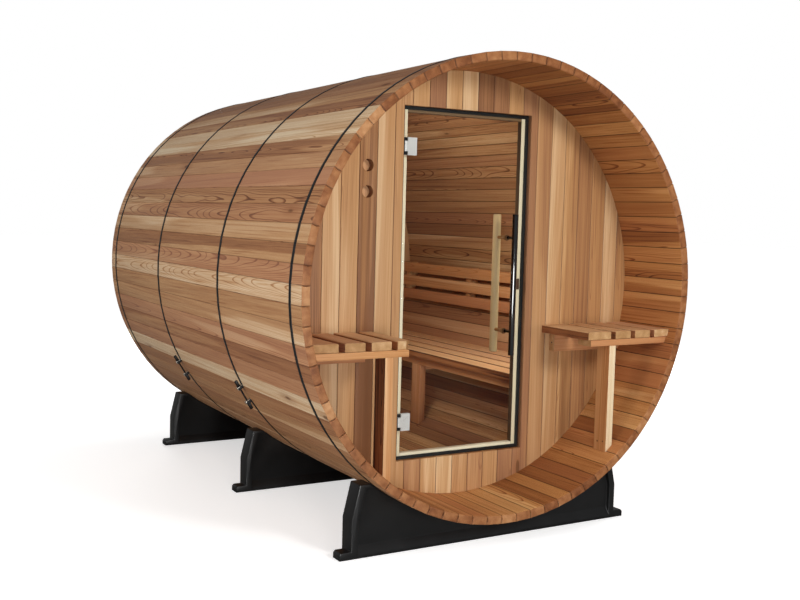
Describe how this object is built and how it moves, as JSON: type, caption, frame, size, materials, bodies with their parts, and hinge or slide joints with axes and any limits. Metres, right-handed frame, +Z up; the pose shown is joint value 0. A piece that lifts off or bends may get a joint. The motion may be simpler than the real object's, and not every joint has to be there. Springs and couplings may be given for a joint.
{
  "type": "barrel sauna",
  "caption": "Outdoor barrel sauna of cedar staves with steel hoops on black cradles, an open porch with slatted benches and a hinged glass door.",
  "frame": {"origin": "on the ground, under the middle of the barrel", "axes": "+Z up, +Y from the porch towards the back along the barrel, +X to the right seen from the porch"},
  "size_m": [1.8038, 2.438, 1.8879],
  "materials": {
    "stave_cedar": "planed bare cedar, boards of mixed colour",
    "board_cedar": "planed bare cedar, vertical grain",
    "bench_cedar": "planed bare cedar with eased edges",
    "hoop_steel": "satin black coating",
    "cradle_plastic": "moulded black plastic, satin",
    "frame_wood": "pale planed wood",
    "seal_rubber": "matt black",
    "catch_metal": "dark satin metal",
    "door_glass": "clear toughened glass",
    "hinge_metal": "satin silver",
    "bracket_steel": "satin black coating",
    "black_gloss": "gloss black",
    "pale_wood": "pale turned hardwood"
  },
  "bodies": {
    "building": {"backrest": "bench_cedar", "bench_frame": "bench_cedar", "bench_slats": "bench_cedar", "cradle_front": "cradle_plastic", "cradle_middle": "cradle_plastic", "cradle_rear": "cradle_plastic", "door_catch": "catch_metal", "door_seal": "seal_rubber", "door_stop": "frame_wood", "front_wall_left": "board_cedar", "front_wall_over_door": "board_cedar", "front_wall_right": "board_cedar", "front_wall_under_door": "board_cedar", "hinge_brackets": "bracket_steel", "hoop_front": "hoop_steel", "hoop_rear": "hoop_steel", "hoop_second": "hoop_steel", "hoop_third": "hoop_steel", "porch_frame_left": "bench_cedar", "porch_frame_right": "bench_cedar", "porch_slats_left": "bench_cedar", "porch_slats_right": "bench_cedar", "rear_wall": "board_cedar", "staves_01": "stave_cedar", "staves_02": "stave_cedar", "staves_03": "stave_cedar", "staves_04": "stave_cedar", "staves_05": "stave_cedar", "staves_06": "stave_cedar", "staves_07": "stave_cedar", "staves_08": "stave_cedar", "staves_09": "stave_cedar", "staves_10": "stave_cedar", "staves_11": "stave_cedar", "staves_12": "stave_cedar", "staves_13": "stave_cedar", "staves_14": "stave_cedar", "staves_15": "stave_cedar", "staves_16": "stave_cedar", "tension_bolts": "hoop_steel", "vent_slide": "pale_wood"},
    "door": {"door_glass": "door_glass", "hinge_plates": "hinge_metal", "pull_handle_outer": "black_gloss", "pull_handle_inner": "pale_wood"}
  },
  "joints": [
    {"name": "door_hinge", "type": "hinge", "parent": "building", "child": "door", "pos_m": [-0.295, -0.855, 0.986], "axis": [0, 0, -1], "range_deg": [0, 100]}
  ]
}
